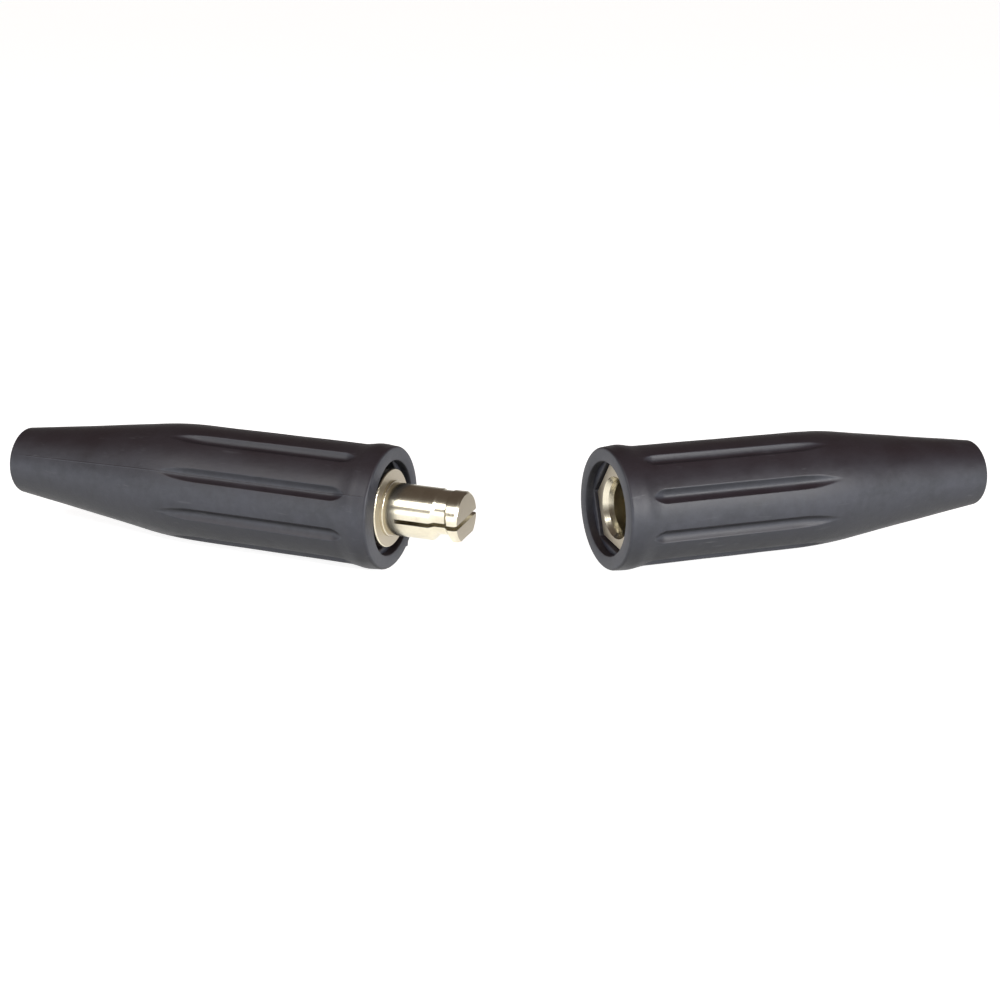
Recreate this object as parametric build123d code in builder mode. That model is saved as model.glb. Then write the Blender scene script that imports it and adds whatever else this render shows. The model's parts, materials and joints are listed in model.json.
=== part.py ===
from build123d import *
import os
from math import cos, radians, sin

# In-line cable connector: a plug half and a socket half, lying side by side on a bench with their
# mouths turned towards each other. Lengths are in mm, angles in degrees.
#
# Stations are measured along each half's own axis from its mouth, positive out of the mouth, so
# what lies inside a half has a negative station. Clock angles are seen along the axis: 0 is level,
# on the front (-Y) side, and 90 is straight up.

# Where the two halves lie
AXIS_TURN = 22.3
AXIS_HEIGHT = 16.3
MOUTH_X = 27.47
PLUG_MOUTH_Y = -18.9
SOCKET_MOUTH_Y = -16.75

# Rubber cover, the same moulding on both halves
MOUTH_R = 16.0
COLLAR_R = 16.3
COLLAR_CREST = -3.8
COLLAR_END = -5.4
COLLAR_END_R = 16.2
BODY_START = -9.0
BODY_R = 15.65
SHOULDER = -57.3
SHOULDER_R = 15.5
TAPER_MIDDLE = -64.6
TAPER_MIDDLE_R = 14.93
TAPER_START = -77.0
TAPER_START_R = 13.45
TAIL_END = -111.0
TAIL_R = 9.0
EDGE_ROUND = 0.7
FLUTES = 9
FLUTE_CLOCK = 23.8
FLUTE_FLOOR_R = 14.55
FLUTE_CUTTER_R = 2.1
FLUTE_TIP = -6.2
FLUTE_TIP_LENGTH = 3.2
FLUTE_TIP_CUTTER_R = 0.2
FLUTE_END = -76.0
RECESS_R = 12.3
RECESS_DEPTH = 2.2
POCKET_FLATS = 21.3
POCKET_END = -54.0
CABLE_PASSAGE_R = 7.0

# Brass contacts: a hexagonal body, drilled from behind for the cable
BODY_FLATS = 20.6
FLAT_CLOCK = 23.0
CONTACT_END = -52.0
CABLE_SOCKET_R = 6.0
CABLE_SOCKET_FLOOR = -26.5
CABLE_LEAD_IN = 0.6
FACE_CHAMFER = 0.4

# Plug pin, with the cam groove and the slit that let it lock and spring
BOSS_R = 10.2
BOSS_BACK = -6.0
BOSS_ROUND = 0.4
ROOT_COLLAR_R = 7.3
ROOT_COLLAR_TOP = 0.8
ROOT_COLLAR_ROUND = 0.25
PIN_R = 6.8
PIN_LENGTH = 20.9
PIN_SEAM_CLOCK = -20.0
NOSE_CHAMFER = 0.55
CAM_STATION = 15.8
CAM_CLOCK = -97.0
CAM_FLOOR_R = 5.75
CAM_THROW = 0.85
CAM_FLOOR_WIDTH = 2.9
CAM_WALL_RISE = 2.6
NOSE_FLAT_AT = 5.0
SLIT_WIDTH = 1.22
SLIT_START = 3.8
SLIT_OFFSET = 0.45

# Socket bore and the dowel that crosses it
SOCKET_FACE = -3.0
SOCKET_CHAMFER_R = 8.2
SOCKET_CHAMFER_END = -4.3
SOCKET_MOUTH_R = 7.35
LEAD_IN_END = -5.6
BORE_R = 6.87
BORE_END = -22.4
RELIEF_R = 7.6
RELIEF_HALF = 1.8
CAM_PIN_R = 1.4
CAM_PIN_INNER = 5.3
CAM_PIN_LENGTH = 13.6

# Cable clamp: a socket set screw that pushes a ball onto the cable
CLAMP_STATION = -36.0
CLAMP_CLOCK = 83.0
SCREW_R = 3.95
SCREW_HOLE_R = 4.0
SCREW_TOP = 10.1
SCREW_TIP = 5.6
SCREW_CHAMFER = 0.5
KEY_FLATS = 4.0
KEY_DEPTH = 2.4
BALL_R = 3.0

# Copper sleeves that line the cable socket
SLEEVE_R = 5.94
SLEEVE_BORE_R = 5.2
SLEEVE_FRONT = -43.0
SLEEVE_BACK = -51.6
REDUCER_R = 5.14
REDUCER_BORE_R = 4.4
REDUCER_FRONT = -42.4
REDUCER_FLANGE_R = 6.4
REDUCER_FLANGE_FRONT = -52.2
REDUCER_BACK = -53.2


def mouth_plane(mouth_x, mouth_y, out_x):
    """The plane of a mouth: z out of it, x level towards the front."""
    along = (out_x * cos(radians(AXIS_TURN)), -sin(radians(AXIS_TURN)), 0)
    front = (-out_x * sin(radians(AXIS_TURN)), -cos(radians(AXIS_TURN)), 0)
    return Plane(origin=(mouth_x, mouth_y, AXIS_HEIGHT), x_dir=front, z_dir=along)


HALVES = {
    "plug": mouth_plane(-MOUTH_X, PLUG_MOUTH_Y, 1),
    "socket": mouth_plane(MOUTH_X, SOCKET_MOUTH_Y, -1),
}


def clock(half, angle):
    """A clock angle as an angle in the half's mouth plane, whose y points down on the plug."""
    return angle if HALVES[half].y_dir.Z > 0 else -angle


def section_plane(half):
    """The level plane through a half's axis: x is the radius, y the station."""
    mouth = HALVES[half]
    return Plane(origin=mouth.origin, x_dir=mouth.x_dir, z_dir=mouth.x_dir.cross(mouth.z_dir))


def radial_plane(half, station, angle, radius=0.0):
    """A plane whose z points outwards at a clock angle, at a radius from the axis."""
    mouth = HALVES[half]
    turn = radians(clock(half, angle))
    outward = mouth.x_dir * cos(turn) + mouth.y_dir * sin(turn)
    centre = mouth.origin + mouth.z_dir * station + outward * radius
    return Plane(origin=centre, x_dir=mouth.z_dir, z_dir=outward)


def half_axis(half):
    return Axis(HALVES[half].origin, HALVES[half].z_dir)


def ring(half, outer_r, inner_r, front, back):
    """Adds a plain tube between two stations of a half."""
    with BuildSketch(HALVES[half].offset(back)) as end:
        Circle(outer_r)
        Circle(inner_r, mode=Mode.SUBTRACT)
    extrude(end.sketch, amount=front - back)


def bore(half, radius, front, back):
    """Cuts a plain round hole between two stations of a half."""
    with BuildSketch(HALVES[half].offset(back)) as end:
        Circle(radius)
    extrude(end.sketch, amount=front - back, mode=Mode.SUBTRACT)


def lead_in(half, wide_r, wide_at, narrow_r, narrow_at):
    """Cuts a cone that guides something into a bore."""
    with BuildSketch(section_plane(half)) as cone:
        with BuildLine():
            Polyline((0, wide_at), (wide_r, wide_at), (narrow_r, narrow_at), (0, narrow_at), close=True)
        make_face()
    revolve(cone.sketch, axis=half_axis(half), mode=Mode.SUBTRACT)


def hexagon(half, flats):
    """A hexagon in step with the flats of the contacts, in the sketch that is open."""
    RegularPolygon(flats / 2, 6, major_radius=False, rotation=clock(half, FLAT_CLOCK + 30))


def make_cover(half):
    """The rubber handle: fluted grip, collar at the mouth and long tapered tail."""
    with BuildPart() as cover:
        with BuildSketch(section_plane(half)):
            with BuildLine():
                Line((0, 0), (MOUTH_R - EDGE_ROUND, 0))
                RadiusArc((MOUTH_R - EDGE_ROUND, 0), (MOUTH_R, -EDGE_ROUND), -EDGE_ROUND)
                ThreePointArc(
                    (MOUTH_R, -EDGE_ROUND),
                    (COLLAR_R, COLLAR_CREST),
                    (COLLAR_END_R, COLLAR_END),
                )
                Line((COLLAR_END_R, COLLAR_END), (BODY_R, BODY_START))
                Line((BODY_R, BODY_START), (SHOULDER_R, SHOULDER))
                ThreePointArc(
                    (SHOULDER_R, SHOULDER),
                    (TAPER_MIDDLE_R, TAPER_MIDDLE),
                    (TAPER_START_R, TAPER_START),
                )
                Line((TAPER_START_R, TAPER_START), (TAIL_R, TAIL_END + EDGE_ROUND))
                RadiusArc((TAIL_R, TAIL_END + EDGE_ROUND), (TAIL_R - EDGE_ROUND, TAIL_END), -EDGE_ROUND)
                Line((TAIL_R - EDGE_ROUND, TAIL_END), (0, TAIL_END))
                Line((0, TAIL_END), (0, 0))
            make_face()
        revolve(axis=half_axis(half))
        flute_start = FLUTE_TIP - FLUTE_TIP_LENGTH
        flute_centre_r = FLUTE_FLOOR_R + FLUTE_CUTTER_R
        with Locations(HALVES[half].offset(flute_start)):
            with PolarLocations(flute_centre_r, FLUTES, start_angle=clock(half, FLUTE_CLOCK)):
                Cylinder(
                    FLUTE_CUTTER_R,
                    flute_start - FLUTE_END,
                    align=(Align.CENTER, Align.CENTER, Align.MAX),
                    mode=Mode.SUBTRACT,
                )
                Cone(
                    FLUTE_CUTTER_R,
                    FLUTE_TIP_CUTTER_R,
                    FLUTE_TIP_LENGTH,
                    align=(Align.CENTER, Align.CENTER, Align.MIN),
                    mode=Mode.SUBTRACT,
                )
        bore(half, RECESS_R, 0, -RECESS_DEPTH)
        with BuildSketch(HALVES[half].offset(POCKET_END)):
            hexagon(half, POCKET_FLATS)
        extrude(amount=-POCKET_END, mode=Mode.SUBTRACT)
        bore(half, CABLE_PASSAGE_R, POCKET_END, TAIL_END)
    return cover.part


def hex_body(half, front):
    """Adds the hexagonal body of a contact, and drills its cable socket and its clamp hole."""
    with BuildSketch(HALVES[half].offset(CONTACT_END)) as end:
        hexagon(half, BODY_FLATS)
    hexagonal = extrude(end.sketch, amount=front - CONTACT_END)
    chamfer(hexagonal.faces().sort_by(half_axis(half))[-1].edges(), FACE_CHAMFER)
    bore(half, CABLE_SOCKET_R, CABLE_SOCKET_FLOOR, CONTACT_END)
    lead_in(
        half,
        CABLE_SOCKET_R + CABLE_LEAD_IN,
        CONTACT_END,
        CABLE_SOCKET_R,
        CONTACT_END + CABLE_LEAD_IN,
    )
    with BuildSketch(radial_plane(half, CLAMP_STATION, CLAMP_CLOCK)) as hole:
        Circle(SCREW_HOLE_R)
    extrude(hole.sketch, amount=BODY_FLATS, mode=Mode.SUBTRACT)


def make_set_screw(half):
    """A flat-point set screw with a hexagonal key socket."""
    with BuildPart() as screw:
        with BuildSketch(radial_plane(half, CLAMP_STATION, CLAMP_CLOCK, SCREW_TIP)):
            Circle(SCREW_R)
        extrude(amount=SCREW_TOP - SCREW_TIP)
        chamfer(screw.edges().filter_by(GeomType.CIRCLE), SCREW_CHAMFER)
        with BuildSketch(radial_plane(half, CLAMP_STATION, CLAMP_CLOCK, SCREW_TOP)):
            RegularPolygon(KEY_FLATS / 2, 6, major_radius=False)
        extrude(amount=-KEY_DEPTH, mode=Mode.SUBTRACT)
    return screw.part


def make_clamp_ball(half):
    """The steel ball that the set screw pushes onto the cable."""
    with BuildPart() as ball:
        with Locations(radial_plane(half, CLAMP_STATION, CLAMP_CLOCK, SCREW_TIP - BALL_R)):
            Sphere(BALL_R)
    return ball.part


def make_cable_sleeve(half):
    """The copper sleeve at the back of the cable socket."""
    with BuildPart() as sleeve:
        ring(half, SLEEVE_R, SLEEVE_BORE_R, SLEEVE_FRONT, SLEEVE_BACK)
    return sleeve.part


def make_reducer(half):
    """The flanged inner sleeve that makes the cable socket fit a thinner cable."""
    with BuildPart() as reducer:
        ring(half, REDUCER_R, REDUCER_BORE_R, REDUCER_FRONT, REDUCER_FLANGE_FRONT)
        ring(half, REDUCER_FLANGE_R, REDUCER_BORE_R, REDUCER_FLANGE_FRONT, REDUCER_BACK)
    return reducer.part


def front_circle(contact):
    """The round edge of the plug contact that stands furthest out of the mouth."""
    return contact.edges().filter_by(GeomType.CIRCLE).sort_by(half_axis("plug"))[-1]


with BuildPart() as plug_contact:
    hex_body("plug", BOSS_BACK)
    with BuildSketch(HALVES["plug"].offset(BOSS_BACK)):
        Circle(BOSS_R)
    extrude(amount=-BOSS_BACK)
    fillet(front_circle(plug_contact), BOSS_ROUND)
    with BuildSketch(HALVES["plug"]):
        Circle(ROOT_COLLAR_R)
    extrude(amount=ROOT_COLLAR_TOP)
    fillet(front_circle(plug_contact), ROOT_COLLAR_ROUND)
    # The seam of the pin's round wall is turned away from the slit.
    seam_dir = radial_plane("plug", 0, PIN_SEAM_CLOCK).z_dir
    with BuildSketch(Plane(origin=HALVES["plug"].origin, x_dir=seam_dir, z_dir=HALVES["plug"].z_dir)):
        Circle(PIN_R)
    extrude(amount=PIN_LENGTH)
    chamfer(front_circle(plug_contact), NOSE_CHAMFER)
    # The cam groove is turned about an axis that lies away from the dowel's side.
    cam_centre = radial_plane("plug", CAM_STATION, CAM_CLOCK, -CAM_THROW)
    cam_section = Plane(
        origin=cam_centre.origin,
        x_dir=cam_centre.z_dir,
        z_dir=cam_centre.z_dir.cross(cam_centre.x_dir),
    )
    with BuildSketch(cam_section):
        with BuildLine():
            Polyline(
                (CAM_FLOOR_R, -CAM_FLOOR_WIDTH / 2),
                (CAM_FLOOR_R, CAM_FLOOR_WIDTH / 2),
                (CAM_FLOOR_R + CAM_WALL_RISE, CAM_FLOOR_WIDTH / 2 + CAM_WALL_RISE),
                (CAM_FLOOR_R + CAM_WALL_RISE, -CAM_FLOOR_WIDTH / 2 - CAM_WALL_RISE),
                close=True,
            )
        make_face()
    revolve(axis=Axis(cam_centre.origin, HALVES["plug"].z_dir), mode=Mode.SUBTRACT)
    with BuildSketch(radial_plane("plug", CAM_STATION, CAM_CLOCK, NOSE_FLAT_AT)):
        Rectangle(2 * (PIN_LENGTH - CAM_STATION), 2 * PIN_R, align=(Align.MIN, Align.CENTER))
    extrude(amount=PIN_R, mode=Mode.SUBTRACT)
    with BuildSketch(radial_plane("plug", SLIT_START, CAM_CLOCK, SLIT_OFFSET - SLIT_WIDTH / 2)):
        Rectangle(PIN_LENGTH, 3 * PIN_R, align=(Align.MIN, Align.CENTER))
    extrude(amount=SLIT_WIDTH, mode=Mode.SUBTRACT)

with BuildPart() as socket_contact:
    hex_body("socket", SOCKET_FACE)
    bore("socket", BORE_R, SOCKET_FACE, BORE_END)
    lead_in("socket", SOCKET_CHAMFER_R, SOCKET_FACE, SOCKET_MOUTH_R, SOCKET_CHAMFER_END)
    lead_in("socket", SOCKET_MOUTH_R, SOCKET_CHAMFER_END, BORE_R, LEAD_IN_END)
    bore("socket", RELIEF_R, -CAM_STATION + RELIEF_HALF, -CAM_STATION - RELIEF_HALF)
    dowel_plane = radial_plane("socket", -CAM_STATION, CAM_CLOCK, CAM_PIN_INNER + CAM_PIN_R)
    across = Plane(origin=dowel_plane.origin, x_dir=dowel_plane.x_dir, z_dir=dowel_plane.y_dir)
    with BuildSketch(across.offset(-BODY_FLATS)):
        Circle(CAM_PIN_R)
    extrude(amount=2 * BODY_FLATS, mode=Mode.SUBTRACT)

with BuildPart() as socket_cam_pin:
    with BuildSketch(across.offset(-CAM_PIN_LENGTH / 2)):
        Circle(CAM_PIN_R)
    extrude(amount=CAM_PIN_LENGTH)

nodes = {
    "plug_contact": plug_contact.part,
    "socket_contact": socket_contact.part,
    "socket_cam_pin": socket_cam_pin.part,
}
for half in HALVES:
    nodes[f"{half}_cover"] = make_cover(half)
    nodes[f"{half}_set_screw"] = make_set_screw(half)
    nodes[f"{half}_clamp_ball"] = make_clamp_ball(half)
    nodes[f"{half}_cable_sleeve"] = make_cable_sleeve(half)
    nodes[f"{half}_reducer"] = make_reducer(half)

os.makedirs("parts", exist_ok=True)
for name, part in nodes.items():
    part.label = name
    export_step(part, f"parts/{name}.step")
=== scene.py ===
import json
import math

import bpy
import numpy as np
from mathutils import Matrix, Vector


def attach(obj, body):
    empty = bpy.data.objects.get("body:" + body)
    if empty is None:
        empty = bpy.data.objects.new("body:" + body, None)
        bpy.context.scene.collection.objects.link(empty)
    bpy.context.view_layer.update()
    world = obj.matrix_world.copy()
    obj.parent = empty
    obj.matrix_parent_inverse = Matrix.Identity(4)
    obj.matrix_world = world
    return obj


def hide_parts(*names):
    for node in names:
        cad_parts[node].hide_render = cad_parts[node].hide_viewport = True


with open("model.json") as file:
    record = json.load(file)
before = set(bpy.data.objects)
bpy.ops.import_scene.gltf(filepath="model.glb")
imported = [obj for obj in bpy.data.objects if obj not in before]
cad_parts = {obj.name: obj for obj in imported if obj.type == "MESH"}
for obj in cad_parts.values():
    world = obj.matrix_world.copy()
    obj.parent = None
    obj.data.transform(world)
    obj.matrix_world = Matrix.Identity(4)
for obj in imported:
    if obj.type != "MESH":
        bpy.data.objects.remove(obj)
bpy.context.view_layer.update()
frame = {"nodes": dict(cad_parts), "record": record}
MM = 0.001

# Both halves have the same rubber cover. Stations are millimetres behind the mouth, along the half's
# axis; clock angles are degrees round it, 0 level at the front (-Y) and 90 straight up.
MOUTH_R = 16.0
EDGE_ROUND = 0.7
BULGE, BULGE_AT, BULGE_SPREAD = 0.24, 3.9, 1.9
FLANK = (5.0, 9.2)
BODY_R, BODY_SLOPE = 15.65, 0.0031
TAIL_START, TAIL_END = 64.0, 111.0
TAIL_R, TAIL_SLOPE, TAIL_DIP = 8.9, 0.134, 0.08
SHOULDER_BLEND = 1.0
FLUTES, FLUTE_CLOCK = 9, 23.8
FLUTE_FLOOR_R, FLUTE_CURVE, FLUTE_LIP = 14.35, 1.35, 0.12
FLUTE_OPENS, FLUTE_CLOSES = (6.0, 10.5), (50.0, 64.0)
FLUTE_HALF_ANGLE = 9.5
RECESS_R, RECESS_DEPTH = 12.3, 2.2
POCKET_FLAT_R, FLAT_CLOCK = 10.65, 23.0
POCKET_END = 54.0
PASSAGE_R = 7.0
PASSAGE_MIDDLE = 82.5
INNER_EDGE = 0.35

# Marks of the mould and of use, in the same units
PARTING_CLOCK = {"plug": 23.8, "socket": 103.8}
PARTING_HEIGHT, PARTING_WIDTH = 0.07, 0.11
PARTING_STARTS, PARTING_STOPS = (0.2, 1.2), (104.0, 109.0)
WAVE_HEIGHT = 0.035
WAVE_PHASE = {"plug": 0.0, "socket": 2.0}
WAVE_STARTS, WAVE_STOPS = (1.0, 6.0), (98.0, 108.0)
NIB_CLOCK = {"plug": 232.0}
NIB_HEIGHT, NIB_AT, NIB_WIDTH = 0.75, 0.3, 0.5
RIM_LEAN, LEAN_CLOCK = {"plug": 1.8, "socket": 0.3}, 12.0

SMOOTH_ANGLE = 40.0
FLOOR_HALF_SIZE = 6.0

# Camera: low in front, with both mouths turned towards it. Metres, degrees and a lens in mm.
CAMERA_DISTANCE = 0.548
CAMERA_ELEVATION = 16.03
CAMERA_ROLL = 0.883
CAMERA_LENS = 75.64
CAMERA_TARGET = (0.00028, -0.00988, 0.0163)
SENSOR_WIDTH = 36.0


# ---------------------------------------------------------------- the frame of each half

def half_frame(half):
    """The mouth's centre and the directions front (clock 0), up and backward (along stations)."""
    entry = next(m for m in frame["record"]["mounts"] if m["name"] == f"{half}_cable_entry")
    backward = np.array(entry["axis"], float)
    up = np.array((0.0, 0.0, 1.0))
    front = np.cross(up, backward)
    front *= -1 if front[1] > 0 else 1
    mouth = np.array(entry["pos_m"], float) - backward * PASSAGE_MIDDLE * MM
    return mouth, front, up, backward


def place(half, radius, clock, station):
    """World points, in metres, from radii and stations in mm and clock angles in radians."""
    mouth, front, up, backward = half_frame(half)
    side = (radius * np.cos(clock))[..., None] * front + (radius * np.sin(clock))[..., None] * up
    return mouth + MM * (side + np.asarray(station, float)[..., None] * backward)


# ---------------------------------------------------------------- rubber covers

def smooth_step(x, low, high):
    t = np.clip((x - low) / (high - low), 0, 1)
    return t * t * (3 - 2 * t)


def between(s, rise, fall):
    """1 along a stretch of the cover, easing up over the rise and down over the fall."""
    return smooth_step(s, *rise) * (1 - smooth_step(s, *fall))


def hump(x, width):
    return np.exp(-((x / width) ** 2))


def smooth_min(a, b, width):
    h = np.maximum(width - np.abs(a - b), 0) / width
    return np.minimum(a, b) - h * h * width / 4


def smooth_positive(a, width):
    """max(a, 0) with a rounded corner."""
    return np.where(a > width, a, np.where(a < -width, 0, (a + width) ** 2 / (4 * width)))


def turned_radius(s):
    """The cover's outer radius before its flutes are cut."""
    body = BODY_R - BODY_SLOPE * (s - FLANK[1])
    along = np.clip((s - TAIL_START) / (TAIL_END - TAIL_START), 0, 1)
    tail = TAIL_R + TAIL_SLOPE * (TAIL_END - s) - TAIL_DIP * np.sin(math.pi * along)
    body = smooth_min(body, tail, SHOULDER_BLEND)
    collar = MOUTH_R + BULGE * hump(s - BULGE_AT, BULGE_SPREAD)
    radius = body + (collar - body) * (1 - smooth_step(s, *FLANK))
    rim = np.sqrt(np.maximum(EDGE_ROUND**2 - np.maximum(EDGE_ROUND - s, 0) ** 2, 0))
    end = np.sqrt(np.maximum(EDGE_ROUND**2 - np.maximum(s - TAIL_END + EDGE_ROUND, 0) ** 2, 0))
    return radius - (EDGE_ROUND - rim) - (EDGE_ROUND - end)


def off_clock(clock, degrees):
    """How far each clock angle is past one given in degrees, within half a turn either way."""
    return (clock - math.radians(degrees) + math.pi) % (2 * math.pi) - math.pi


def outer_radius(half, s, clock):
    """The cover's outer radius with flutes, parting lines and the small faults of moulded rubber."""
    radius = turned_radius(s)
    pitch = 2 * math.pi / FLUTES
    off_flute = (clock - math.radians(FLUTE_CLOCK) + pitch / 2) % pitch - pitch / 2
    open_to = between(s, FLUTE_OPENS, FLUTE_CLOSES)
    depth = (radius - FLUTE_FLOOR_R) * open_to - FLUTE_LIP * (1 - open_to)
    across = radius * np.sin(off_flute)
    radius = radius - smooth_positive(depth - across * across / (2 * FLUTE_CURVE), FLUTE_LIP)
    ridge = PARTING_HEIGHT * between(s, PARTING_STARTS, PARTING_STOPS)
    for turn in (0, 180):
        off_seam = np.clip(off_clock(clock, PARTING_CLOCK[half] + turn), -1, 1)
        radius = radius + ridge * hump(radius * np.sin(off_seam), PARTING_WIDTH)
    phase = WAVE_PHASE[half]
    wave = np.sin(3 * clock + 0.11 * s + phase) * np.sin(0.21 * s + 1.3 * phase + 2 * clock)
    radius = radius + WAVE_HEIGHT * wave * between(s, WAVE_STARTS, WAVE_STOPS)
    if half in NIB_CLOCK:
        off_nib = MOUTH_R * off_clock(clock, NIB_CLOCK[half])
        radius = radius + NIB_HEIGHT * hump(off_nib, NIB_WIDTH) * hump(s - NIB_AT, NIB_WIDTH)
    return radius


def hole_radius(half, clock):
    """The hole in the mouth: the plug's soft rim leans against the boss on the front side."""
    lean = np.maximum(np.cos(clock - math.radians(LEAN_CLOCK)), 0) ** 2
    return RECESS_R - RIM_LEAN[half] * lean


def pocket_radius(clock):
    """The hexagonal pocket's wall in each direction."""
    off_flat = (clock - math.radians(FLAT_CLOCK) + math.pi / 6) % (math.pi / 3) - math.pi / 6
    return np.minimum(POCKET_FLAT_R / np.cos(off_flat), RECESS_R - 0.12)


def clock_columns():
    """Clock angles round the cover: close together across each flute, wider on the lands."""
    pitch = 2 * math.pi / FLUTES
    half_flute = math.radians(FLUTE_HALF_ANGLE)
    flute = [half_flute * math.copysign(abs(t) ** 1.25, t) for t in np.linspace(-1, 1, 41)]
    land = list(np.linspace(half_flute, pitch - half_flute, 21))[1:-1]
    starts = math.radians(FLUTE_CLOCK) + pitch * np.arange(FLUTES)
    return np.concatenate([start + np.array(flute + land) for start in starts])


def build_mesh(name, points, faces):
    mesh = bpy.data.meshes.new(name)
    mesh.from_pydata([tuple(p) for p in points], [], faces)
    mesh.validate()
    piece = bpy.data.objects.new(name, mesh)
    bpy.context.scene.collection.objects.link(piece)
    mesh.shade_smooth()
    mesh.set_sharp_from_angle(angle=math.radians(SMOOTH_ANGLE))
    return piece


def outside_stations():
    """Stations of the outer rings: close over the rim, the collar, the shoulder and the tail's end."""
    rim = EDGE_ROUND * (1 - np.cos(np.linspace(0, math.pi / 2, 7)))
    collar = np.arange(1.0, 12, 0.25)
    grip = np.arange(12, 56, 2.0)
    shoulder = np.arange(56, 76, 0.8)
    tail = np.arange(76, TAIL_END - EDGE_ROUND, 2.0)
    end = TAIL_END - EDGE_ROUND * (1 - np.cos(np.linspace(math.pi / 2, 0, 6)))
    return np.concatenate([rim, collar, grip, shoulder, tail, end])


def cover_rings(half, clock):
    """(radii, station) of each ring: outside from mouth to tail, then back up the inside."""
    level = np.ones_like(clock)
    pocket = pocket_radius(clock)
    hole = hole_radius(half, clock)
    rings = [(outer_radius(half, s * level, clock), s) for s in outside_stations()]
    rings.append(((PASSAGE_R + INNER_EDGE) * level, TAIL_END))
    rings.append((PASSAGE_R * level, TAIL_END - INNER_EDGE))
    rings += [(PASSAGE_R * level, s) for s in np.arange(TAIL_END - 1, POCKET_END + 0.4, -3.0)]
    rings.append((PASSAGE_R * level, POCKET_END))
    rings += [(pocket, s) for s in np.arange(POCKET_END, RECESS_DEPTH + 0.3, -2.0)]
    rings += [
        (pocket, RECESS_DEPTH + 0.25),
        (np.minimum(pocket + 0.2, RECESS_R - 0.05), RECESS_DEPTH + 0.05),
        (np.minimum(pocket + 0.3, RECESS_R - 0.03), RECESS_DEPTH),
        ((RECESS_R - 0.02) * level, RECESS_DEPTH),
        (RECESS_R * level, RECESS_DEPTH - 0.15),
        (RECESS_R + 0.5 * (hole - RECESS_R), 0.5 * RECESS_DEPTH),
        (hole, INNER_EDGE),
        (hole + 0.1, 0.1),
        (hole + INNER_EDGE, 0.0),
    ]
    return rings


def make_cover(half):
    """The whole cover as one closed skin that stands in for the plain CAD solid."""
    clock = clock_columns()
    rings = cover_rings(half, clock)
    points = np.concatenate([place(half, r, clock, np.full_like(clock, s)) for r, s in rings])
    count, rows = len(clock), len(rings)
    column = np.arange(count)
    after = (column + 1) % count
    faces = []
    for row in range(rows):
        this, that = row * count, (row + 1) % rows * count
        quads = np.stack([this + column, this + after, that + after, that + column], 1)
        faces.extend(map(tuple, quads if half == "plug" else quads[:, ::-1]))
    cover = build_mesh(f"{half}_cover_rubber", points, faces)
    cover.data.materials.append(rubber(half))
    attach(cover, f"{half}_cover")
    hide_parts(f"{half}_cover")


# ---------------------------------------------------------------- materials

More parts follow.
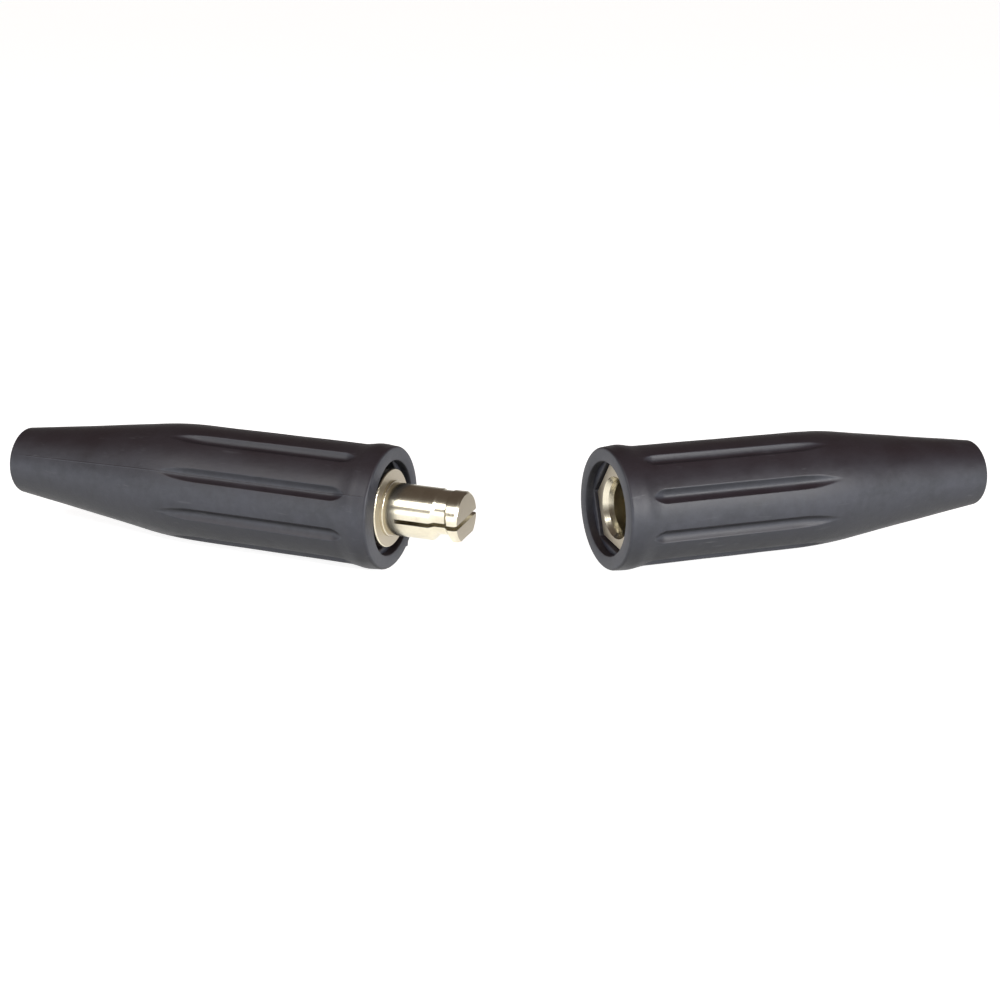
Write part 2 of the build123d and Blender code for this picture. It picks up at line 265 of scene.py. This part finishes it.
class Shader:
    """A material's node tree, with short calls for the nodes that repeat."""

    def __init__(self, name):
        self.material = bpy.data.materials.new(name)
        self.material.use_nodes = True
        self.nodes = self.material.node_tree.nodes
        self.links = self.material.node_tree.links
        self.bsdf = self.nodes["Principled BSDF"]
        self.coords = self.nodes.new("ShaderNodeTexCoord").outputs["Object"]

    def put(self, socket, value):
        if isinstance(value, bpy.types.NodeSocket):
            self.links.new(value, socket)
        else:
            socket.default_value = value

    def set(self, **inputs):
        for name, value in inputs.items():
            self.put(self.bsdf.inputs[name.replace("_", " ")], value)

    def mapping(self, half=None, scale=(1, 1, 1)):
        """Object coordinates, turned so that z runs along the half's axis from its mouth."""
        turn = self.nodes.new("ShaderNodeMapping")
        turn.vector_type = "POINT"
        if half is not None:
            mouth, front, up, backward = half_frame(half)
            axes = Matrix((np.cross(up, backward), up, backward)).to_4x4()
            local = axes @ Matrix.Translation(-Vector(mouth))
            turn.inputs["Location"].default_value = local.to_translation()
            turn.inputs["Rotation"].default_value = local.to_euler()
        self.links.new(self.coords, turn.inputs["Vector"])
        stretch = self.nodes.new("ShaderNodeMapping")
        stretch.inputs["Scale"].default_value = scale
        self.links.new(turn.outputs["Vector"], stretch.inputs["Vector"])
        return stretch.outputs["Vector"]

    def noise(self, vector, scale, detail, roughness=0.5, distortion=0.0):
        node = self.nodes.new("ShaderNodeTexNoise")
        self.links.new(vector, node.inputs["Vector"])
        node.inputs["Scale"].default_value = scale
        node.inputs["Detail"].default_value = detail
        node.inputs["Roughness"].default_value = roughness
        node.inputs["Distortion"].default_value = distortion
        return node.outputs["Fac"]

    def ramp(self, fac, *stops):
        """A colour ramp with (position, grey or colour) stops."""
        node = self.nodes.new("ShaderNodeValToRGB")
        elements = node.color_ramp.elements
        while len(elements) < len(stops):
            elements.new(0.5)
        for element, (position, colour) in zip(elements, stops):
            element.position = position
            element.color = (*colour, 1) if hasattr(colour, "__len__") else (colour,) * 3 + (1,)
        self.links.new(fac, node.inputs["Fac"])
        return node.outputs["Color"]

    def math(self, operation, a, b):
        node = self.nodes.new("ShaderNodeMath")
        node.operation = operation
        self.put(node.inputs[0], a)
        self.put(node.inputs[1], b)
        return node.outputs[0]

    def mix(self, fac, a, b):
        node = self.nodes.new("ShaderNodeMix")
        node.data_type = "RGBA"
        factor_in, colour_a, colour_b, colour_out = 0, 6, 7, 2
        self.put(node.inputs[factor_in], fac)
        for index, value in ((colour_a, a), (colour_b, b)):
            self.put(node.inputs[index], (*value, 1) if isinstance(value, tuple) else value)
        return node.outputs[colour_out]

    def facing(self, direction, low, high):
        """1 where the surface faces a direction of the row frame, from low to high of the cosine."""
        normal = self.nodes.new("ShaderNodeNewGeometry").outputs["True Normal"]
        dot = self.nodes.new("ShaderNodeVectorMath")
        dot.operation = "DOT_PRODUCT"
        self.links.new(normal, dot.inputs[0])
        dot.inputs[1].default_value = direction
        return self.ramp(dot.outputs["Value"], (low, 0.0), (high, 1.0))

    def bump(self, *layers):
        """Bump nodes in a chain: (height, distance in metres, strength) each."""
        normal = None
        for height, distance, strength in layers:
            node = self.nodes.new("ShaderNodeBump")
            node.inputs["Distance"].default_value = distance
            node.inputs["Strength"].default_value = strength
            self.links.new(height, node.inputs["Height"])
            if normal is not None:
                self.links.new(normal, node.inputs["Normal"])
            normal = node.outputs["Normal"]
        self.links.new(normal, self.bsdf.inputs["Normal"])


def rubber(half):
    """Black moulded rubber: satin, cloudy bloom, fine grain, a few handling scuffs, with painted shade
    on faces turned up and on faces turned down.
    """
    s = Shader(f"moulded_rubber_{half}")
    plain = s.mapping(half)
    along = s.mapping(half, (1, 1, 0.12))
    bloom = s.noise(plain, 75, 4, 0.6)
    mottle = s.noise(plain, 420, 3, 0.55)
    grain = s.noise(plain, 5200, 2, 0.6)
    scuff = s.ramp(s.noise(along, 900, 2, 0.7, 0.6), (0.62, 0.0), (0.72, 1.0))
    scuff_patch = s.ramp(s.noise(plain, 110, 2), (0.5, 0.0), (0.68, 1.0))
    scuffed = s.math("MULTIPLY", scuff, scuff_patch)
    # Painted shade masks: up is 1 on faces turned up, down is 1 on faces turned down.
    up = s.facing((0, 0, 1), 0.15, 0.8)
    down = s.facing((0, 0, -1), -0.15, 0.7)

    bluish = s.ramp(bloom, (0.3, (0.013, 0.015, 0.021)), (0.7, (0.026, 0.028, 0.039)))
    # Painted shade colour for faces turned up: darker and browner than the rubber.
    painted_top_shade = s.ramp(bloom, (0.3, (0.015, 0.009, 0.012)), (0.7, (0.023, 0.018, 0.023)))
    colour = s.mix(s.ramp(mottle, (0.35, 0.0), (0.75, 0.45)), bluish, (0.044, 0.046, 0.060))
    # Painted shade on the top of the cover.
    colour = s.mix(up, colour, painted_top_shade)
    # Painted shade under the cover: faces turned down go towards near black.
    colour = s.mix(down, colour, (0.010, 0.010, 0.012))
    colour = s.mix(s.math("MULTIPLY", scuffed, 0.35), colour, (0.11, 0.11, 0.12))
    rough = s.math("ADD", s.math("MULTIPLY", bloom, 0.18), 0.34)
    rough = s.math("ADD", rough, s.math("MULTIPLY", mottle, 0.10))
    # The same downward mask lowers the specular level, taking the floor's reflection off the
    # undersides.
    specular = s.math("SUBTRACT", 0.5, s.math("MULTIPLY", down, 0.28))
    s.set(Base_Color=colour, Roughness=rough, Specular_IOR_Level=specular)
    s.bump((mottle, 0.00012, 0.5), (grain, 0.00004, 0.6), (scuffed, 0.00002, 0.4))
    return s.material


def brass(half):
    """Turned brass: bright flanks with faint tool rings, and matte, sandy sawn and faced ends."""
    s = Shader(f"turned_brass_{half}")
    plain = s.mapping(half)
    rings = s.mapping(half, (0.02, 0.02, 1))
    cloud = s.noise(plain, 260, 3, 0.6)
    grain = s.noise(plain, 7000, 2, 0.7)
    tool = s.noise(rings, 5200, 2, 0.6)
    _, _, _, backward = half_frame(half)
    faced = s.facing(tuple(-backward), 0.93, 0.985)
    bright = s.ramp(cloud, (0.3, (0.60, 0.55, 0.43)), (0.7, (0.70, 0.66, 0.53)))
    dull = s.ramp(grain, (0.3, (0.40, 0.355, 0.28)), (0.7, (0.56, 0.51, 0.415)))
    tooled = s.math("ADD", s.math("MULTIPLY", tool, 0.12), 0.16)
    rough = s.math("ADD", s.math("MULTIPLY", faced, 0.25), tooled)
    s.set(Base_Color=s.mix(faced, bright, dull), Metallic=1.0, Roughness=rough)
    s.bump((tool, 0.000006, 0.35), (grain, 0.000012, 0.35), (cloud, 0.00002, 0.2))
    return s.material


def metal(name, dark, light, smoothest):
    """Plain metal with a fine grain and cloudy tone."""
    s = Shader(name)
    cloud = s.noise(s.coords, 500, 3, 0.6)
    grain = s.noise(s.coords, 3000, 2, 0.6)
    rough = s.math("ADD", s.math("MULTIPLY", grain, 0.15), smoothest)
    s.set(Base_Color=s.ramp(cloud, (0.3, dark), (0.7, light)), Metallic=1.0, Roughness=rough)
    s.bump((grain, 0.000008, 0.35))
    return s.material


def dress(node, material):
    """Give a CAD piece that shows as it is its material."""
    piece = frame["nodes"][node]
    piece.data.materials.clear()
    piece.data.materials.append(material)


# ---------------------------------------------------------------- stage

def make_floor():
    """A plain pale floor that runs past the horizon of the view."""
    signs = ((-1, -1), (1, -1), (1, 1), (-1, 1))
    corners = [(FLOOR_HALF_SIZE * x, FLOOR_HALF_SIZE * y, 0) for x, y in signs]
    floor = build_mesh("floor", corners, [(0, 1, 2, 3)])
    s = Shader("pale_floor")
    pale = s.ramp(s.noise(s.coords, 3, 2), (0.3, 0.86), (0.7, 0.88))
    s.set(Base_Color=pale, Roughness=0.75, Emission_Color=(1, 1, 1, 1), Emission_Strength=0.86)
    floor.data.materials.append(s.material)


def make_world():
    """A studio that is white at the horizon and dim and warm overhead."""
    world = bpy.data.worlds.new("studio")
    bpy.context.scene.world = world
    world.use_nodes = True
    nodes, links = world.node_tree.nodes, world.node_tree.links
    background = nodes["Background"]
    direction = nodes.new("ShaderNodeTexCoord").outputs["Generated"]
    height = nodes.new("ShaderNodeSeparateXYZ")
    links.new(direction, height.inputs[0])
    ramp = nodes.new("ShaderNodeValToRGB")
    low, high = ramp.color_ramp.elements
    low.position, low.color = 0.05, (1.0, 1.0, 1.0, 1)
    high.position, high.color = 0.32, (0.15, 0.12, 0.105, 1)
    links.new(height.outputs["Z"], ramp.inputs["Fac"])
    links.new(ramp.outputs["Color"], background.inputs["Color"])
    background.inputs["Strength"].default_value = 0.8


def make_light(name, place_at, look_at, size, watts):
    data = bpy.data.lights.new(name, "AREA")
    data.shape = "RECTANGLE"
    data.size, data.size_y = size
    data.energy = watts
    light = bpy.data.objects.new(name, data)
    light.location = place_at
    light.rotation_euler = (Vector(look_at) - Vector(place_at)).to_track_quat("-Z", "Y").to_euler()
    bpy.context.scene.collection.objects.link(light)


def make_camera():
    data = bpy.data.cameras.new("camera")
    data.lens = CAMERA_LENS
    data.sensor_width = SENSOR_WIDTH
    camera = bpy.data.objects.new("camera", data)
    tilt = math.radians(CAMERA_ELEVATION)
    target = Vector(CAMERA_TARGET)
    camera.location = target + CAMERA_DISTANCE * Vector((0, -math.cos(tilt), math.sin(tilt)))
    look = (target - camera.location).to_track_quat("-Z", "Y").to_matrix()
    camera.rotation_euler = (look @ Matrix.Rotation(math.radians(CAMERA_ROLL), 3, "Z")).to_euler()
    bpy.context.scene.collection.objects.link(camera)
    bpy.context.scene.camera = camera


make_camera()
make_floor()
make_world()
make_light("key_right", (0.62, -0.66, 0.30), (0.05, 0, 0.016), (0.42, 0.30), 7.5)
make_light("key_left", (-0.62, -0.50, 0.62), (-0.03, -0.03, 0.016), (0.40, 0.30), 3.6)
make_light("strip_left", (-0.72, -0.66, 0.10), (-0.03, -0.03, 0.016), (0.60, 0.22), 1.5)

for half in ("plug", "socket"):
    make_cover(half)
    dress(f"{half}_contact", brass(half))
    oxide = metal(f"black_oxide_{half}", (0.06, 0.06, 0.07), (0.12, 0.12, 0.13), 0.35)
    dress(f"{half}_set_screw", oxide)
    steel = metal(f"hard_steel_{half}", (0.55, 0.55, 0.57), (0.68, 0.68, 0.70), 0.12)
    dress(f"{half}_clamp_ball", steel)
    for node in ("cable_sleeve", "reducer"):
        copper = metal(f"drawn_copper_{half}_{node}", (0.60, 0.27, 0.16), (0.78, 0.40, 0.26), 0.28)
        dress(f"{half}_{node}", copper)
dress("socket_cam_pin", metal("ground_steel", (0.40, 0.40, 0.41), (0.55, 0.55, 0.56), 0.2))

bpy.context.scene.view_settings.view_transform = "Standard"
